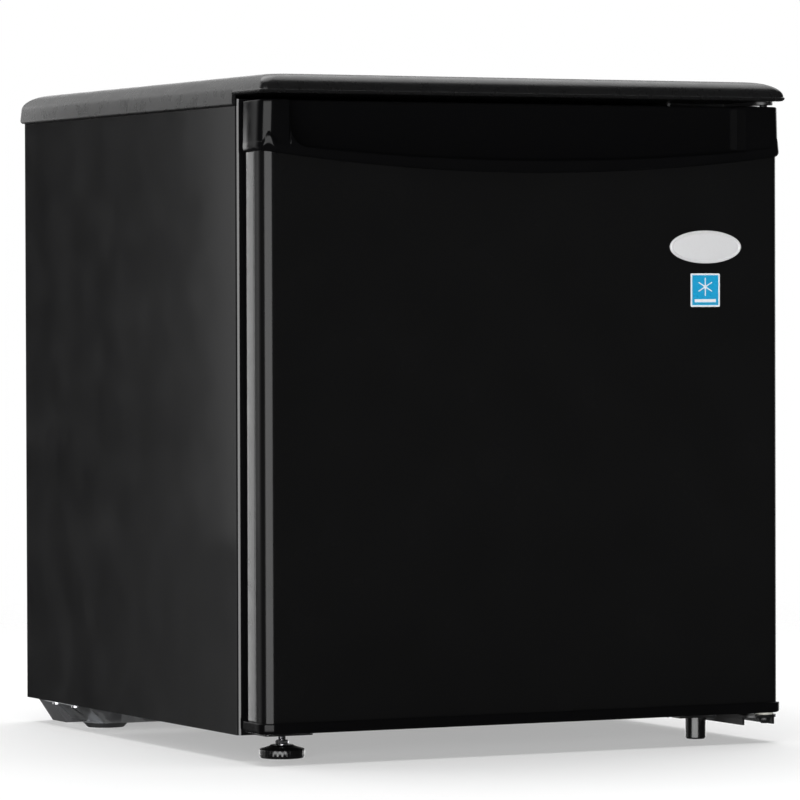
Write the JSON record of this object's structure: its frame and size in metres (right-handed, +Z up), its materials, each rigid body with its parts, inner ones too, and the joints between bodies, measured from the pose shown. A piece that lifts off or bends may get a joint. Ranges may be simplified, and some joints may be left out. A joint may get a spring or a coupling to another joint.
{
  "type": "mini fridge",
  "caption": "Compact counter-height refrigerator with a steel cabinet, a moulded worktop, one right-hinged door with a recessed top handle, and a bottom-mounted compressor.",
  "frame": {"origin": "on the floor, under the middle of the whole object", "axes": "+X to the right of a person who faces the door, the door faces -Y, +Z up"},
  "size_m": [0.452, 0.481, 0.517],
  "materials": {
    "cabinet_paint": "fine-grained satin black enamel on steel sheet",
    "door_paint": "smooth satin black enamel on steel sheet",
    "plain_black_steel": "satin black paint on thick steel",
    "galvanised_steel": "spangled zinc coating",
    "zinc_hardware": "bright zinc plate",
    "worktop_plastic": "fine leather-like mould texture, satin",
    "black_plastic": "moulded satin black plastic",
    "gloss_black_plastic": "polished black plastic",
    "black_rubber": "matt rubber",
    "white_liner": "vacuum-formed white polystyrene",
    "white_plastic": "moulded white plastic",
    "clear_bin_plastic": "lightly tinted clear polystyrene",
    "nylon": "natural nylon",
    "foam": "rigid polyurethane foam",
    "magnet_strip": "plastic-bonded ferrite",
    "white_wire": "plastic-coated steel wire",
    "cold_plate": "rolled aluminium with a clear coat",
    "copper": "drawn copper, slightly tarnished",
    "compressor_paint": "thick gloss black paint",
    "grey_plastic": "moulded dark grey plastic",
    "badge_metal": "satin silver metal",
    "label_print": "blue printed film with a white border"
  },
  "bodies": {
    "cabinet": {"cabinet_wrapper": "cabinet_paint", "rear_panel": "cabinet_paint", "bottom_panel": "plain_black_steel", "insulation_foam": "foam", "inner_liner": "white_liner", "top_cover": "worktop_plastic", "cover_screws": "zinc_hardware", "rear_screws": "zinc_hardware", "condenser_coil": "copper", "evaporator_plate": "cold_plate", "evaporator_spacers": "white_plastic", "drip_trough": "white_plastic", "drain_tube": "white_plastic", "evaporation_pan": "grey_plastic", "full_shelf": "white_wire", "half_shelf": "white_wire", "thermostat_housing": "white_plastic", "thermostat_switch": "zinc_hardware", "sensor_tube": "copper", "compressor_tray": "galvanised_steel", "rear_feet": "grey_plastic", "compressor": "compressor_paint", "compressor_base": "compressor_paint", "compressor_grommets": "black_rubber", "compressor_bolts": "zinc_hardware", "relay_cover": "black_plastic", "cord_gland": "black_rubber", "harness_cable": "black_rubber", "discharge_tube": "copper", "suction_tube": "copper", "process_tube": "copper", "filter_drier": "copper", "upper_hinge_plate": "plain_black_steel", "upper_hinge_pin": "plain_black_steel", "upper_hinge_screws": "plain_black_steel", "lower_hinge_bracket": "plain_black_steel", "lower_hinge_pin": "plain_black_steel", "hinge_washer": "nylon", "underside_screws": "zinc_hardware", "hinge_side_leg": "black_plastic", "foot_nut_plate": "plain_black_steel"},
    "door": {"door_skin": "door_paint", "door_side_strips": "black_plastic", "door_top_cap": "gloss_black_plastic", "door_bottom_trim": "gloss_black_plastic", "door_foam": "foam", "door_liner": "white_liner", "door_gasket": "black_rubber", "gasket_magnets": "magnet_strip", "upper_door_bin": "clear_bin_plastic", "lower_door_bin": "clear_bin_plastic", "bin_rails": "white_wire", "upper_bushing": "nylon", "lower_bushing": "nylon", "oval_badge": "badge_metal", "blank_label": "label_print"},
    "thermostat_knob": {"thermostat_knob": "white_plastic", "thermostat_shaft": "zinc_hardware"},
    "foot_pad": {"levelling_foot_pad": "black_plastic"},
    "foot_stem": {"levelling_foot_stem": "zinc_hardware"}
  },
  "joints": [
    {"name": "door_hinge", "type": "hinge", "parent": "cabinet", "child": "door", "pos_m": [0.213, -0.2255, 0.26], "axis": [0, 0, 1], "range_deg": [0, 135]},
    {"name": "thermostat_turn", "type": "hinge", "parent": "cabinet", "child": "thermostat_knob", "pos_m": [0.1501, -0.012, 0.423], "axis": [-1, 0, 0], "range_deg": [0, 290]},
    {"name": "foot_lift", "type": "slide", "parent": "cabinet", "child": "foot_pad", "axis": [0, 0, -1], "range_m": [0, 0.012]},
    {"name": "foot_spin", "type": "hinge", "parent": "foot_pad", "child": "foot_stem", "pos_m": [-0.177, -0.167, 0.02], "axis": [0, 0, -1], "range_deg": [0, 4320]}
  ],
  "couplings": [
    {"joint": "foot_spin", "follows": "foot_lift", "rad_per_m": 6283}
  ]
}
